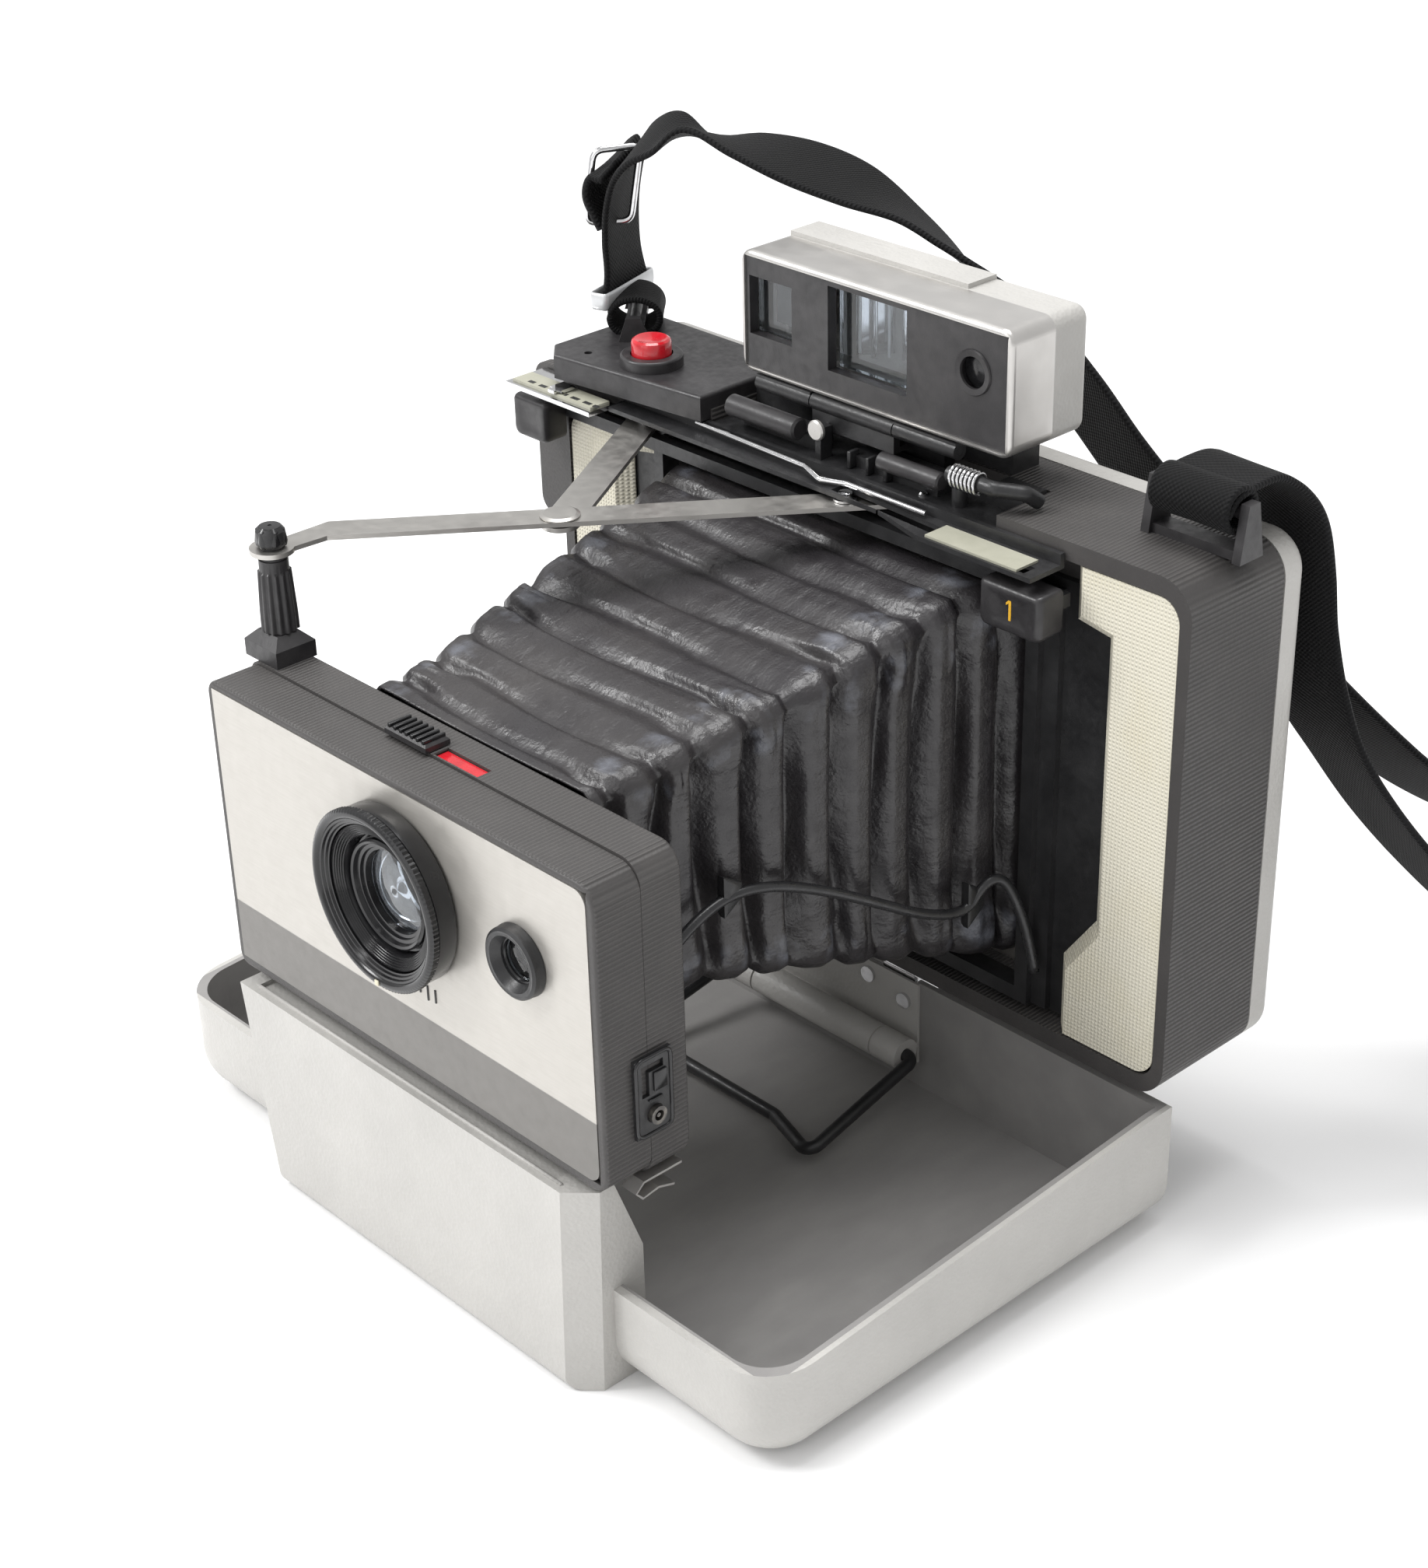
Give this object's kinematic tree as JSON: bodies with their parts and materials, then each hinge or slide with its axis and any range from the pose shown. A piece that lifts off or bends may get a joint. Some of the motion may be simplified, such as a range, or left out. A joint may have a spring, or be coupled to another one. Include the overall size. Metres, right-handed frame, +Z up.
{
  "type": "folding pack-film camera",
  "caption": "Folding instant pack-film camera with bellows, rangefinder hood, scissor-arm front standard, neck strap and a drop-down front cover that it stands on.",
  "frame": {"origin": "on the flat underside of the front cover, below the lens axis, in the front plane of the camera body", "axes": "+X to the right as seen from the front, the lens looks along -Y, +Z up"},
  "size_m": [0.2661, 0.2441, 0.2023],
  "materials": {
    "dark_plastic": "fine ribbed dark grey moulding",
    "black_plastic": "black moulding",
    "cream_plastic": "fine cloth-like embossed cream plastic",
    "pale_grey_plastic": "pebbled light grey moulding",
    "red_plastic": "glossy red",
    "card": "printed strip without lettering",
    "chrome": "polished, slightly worn",
    "arm_steel": "drawn strip, fine scratches",
    "pin_steel": "turned",
    "face_metal": "fine satin, with a dark grey band along its foot",
    "satin_metal": "satin bezel",
    "bellows_cloth": "creased coated cloth, semi-gloss",
    "cable_rubber": "smooth black cable",
    "webbing": "woven black webbing",
    "glass": "clear optical glass",
    "battery_case": "plain can"
  },
  "bodies": {
    "camera_body": {"body_shell": "dark_plastic", "cream_plate_right": "cream_plastic", "cream_plate_left": "cream_plastic", "bellows_frame": "black_plastic", "top_deck": "dark_plastic", "mechanism_plate": "black_plastic", "slide_rail": "black_plastic", "scale_plate": "chrome", "scale_cards": "card", "arm_pivot_pin": "pin_steel", "film_gate": "arm_steel", "battery": "battery_case", "neck_strap": "webbing", "strap_lug_right": "dark_plastic", "strap_lug_left": "dark_plastic", "finder_seat": "black_plastic", "hinge_bracket": "pin_steel", "bellows": "bellows_cloth", "bellows_cable": "cable_rubber"},
    "door": {"film_door": "pale_grey_plastic", "spread_rollers": "pin_steel", "roller_cradle": "black_plastic"},
    "latch": {"door_latch": "dark_plastic"},
    "button": {"shutter_button": "red_plastic"},
    "focus_slide": {"focus_bar": "black_plastic", "focus_button_left": "dark_plastic", "focus_button_right": "dark_plastic", "focus_wire": "chrome", "rangefinder_rod": "black_plastic", "rangefinder_spring": "pin_steel"},
    "short_link": {"short_arm": "arm_steel"},
    "long_link": {"long_arm": "arm_steel"},
    "slider": {"slide_pin": "pin_steel"},
    "standard": {"standard_front_shell": "dark_plastic", "standard_rear_shell": "dark_plastic", "face_plate": "face_metal", "shutter_board": "black_plastic", "pivot_post": "dark_plastic", "post_cap": "black_plastic", "flash_panel": "black_plastic", "sync_socket": "pin_steel", "spring_latch": "chrome", "red_window": "red_plastic", "lens_barrel": "black_plastic", "lens_glass": "glass", "photocell_tube": "black_plastic", "photocell_glass": "glass"},
    "exposure_ring": {"lens_ring": "black_plastic"},
    "selector": {"film_selector": "dark_plastic"},
    "finder": {"finder_bezel": "satin_metal", "finder_face": "dark_plastic", "finder_housing": "pale_grey_plastic", "finder_window_main": "glass", "finder_side_windows": "glass", "finder_eyepiece": "black_plastic", "finder_foot": "black_plastic"},
    "cover": {"front_cover": "pale_grey_plastic", "bail_holder": "pale_grey_plastic", "bail_screws": "pin_steel"},
    "bail": {"wire_bail": "black_plastic"}
  },
  "joints": [
    {"name": "fold", "type": "hinge", "parent": "camera_body", "child": "short_link", "pos_m": [-0.0575, 0, 0.1403], "axis": [0, 0, 1], "range_deg": [0, 52], "deforming": ["bellows", "bellows_cable"]},
    {"name": "arm_cross", "type": "hinge", "parent": "short_link", "child": "long_link", "pos_m": [-0.0275, -0.05, 0.1415], "axis": [0, 0, 1], "range_deg": [-104.2, 0.1]},
    {"name": "standard_post", "type": "hinge", "parent": "long_link", "child": "standard", "pos_m": [-0.0575, -0.1, 0.1415], "axis": [0, 0, 1], "range_deg": [-0.1, 52.2]},
    {"name": "slider_pivot", "type": "hinge", "parent": "long_link", "child": "slider", "pos_m": [0.00855, -0.0042, 0.1415], "axis": [0, 0, 1], "range_deg": [-0.1, 52.2]},
    {"name": "door_hinge", "type": "hinge", "parent": "camera_body", "child": "door", "pos_m": [0.095, 0.0284, 0.0905], "axis": [0, 0, -1], "range_deg": [0, 75], "deforming": ["neck_strap"]},
    {"name": "latch_hinge", "type": "hinge", "parent": "door", "child": "latch", "pos_m": [-0.09, 0.031, 0.092], "axis": [0, 0, -1], "range_deg": [0, 25]},
    {"name": "shutter_press", "type": "slide", "parent": "camera_body", "child": "button", "axis": [0, 0, -1], "range_m": [0, 0.0022], "stiffness_N_per_m": 400},
    {"name": "focus_shift", "type": "slide", "parent": "camera_body", "child": "focus_slide", "axis": [1, 0, 0], "range_m": [-0.002, 0.002]},
    {"name": "selector_shift", "type": "slide", "parent": "standard", "child": "selector", "axis": [1, 0, 0], "range_m": [0, 0.008]},
    {"name": "exposure_turn", "type": "hinge", "parent": "standard", "child": "exposure_ring", "pos_m": [0, -0.12, 0.0936], "axis": [0, -1, 0], "range_deg": [-40, 40]},
    {"name": "finder_fold", "type": "hinge", "parent": "camera_body", "child": "finder", "pos_m": [0, 0.0055, 0.156], "axis": [1, 0, 0], "range_deg": [0, 75]},
    {"name": "cover_hinge", "type": "hinge", "parent": "camera_body", "child": "cover", "pos_m": [0, 0.004, 0.03], "axis": [1, 0, 0], "range_deg": [0, 85]},
    {"name": "bail_swing", "type": "hinge", "parent": "cover", "child": "bail", "pos_m": [0, -0.004, 0.014], "axis": [-1, 0, 0], "range_deg": [0, 40]}
  ],
  "couplings": [
    {"joint": "arm_cross", "follows": "fold", "ratio": -2},
    {"joint": "standard_post", "follows": "fold", "ratio": 1},
    {"joint": "slider_pivot", "follows": "fold", "ratio": 1}
  ]
}
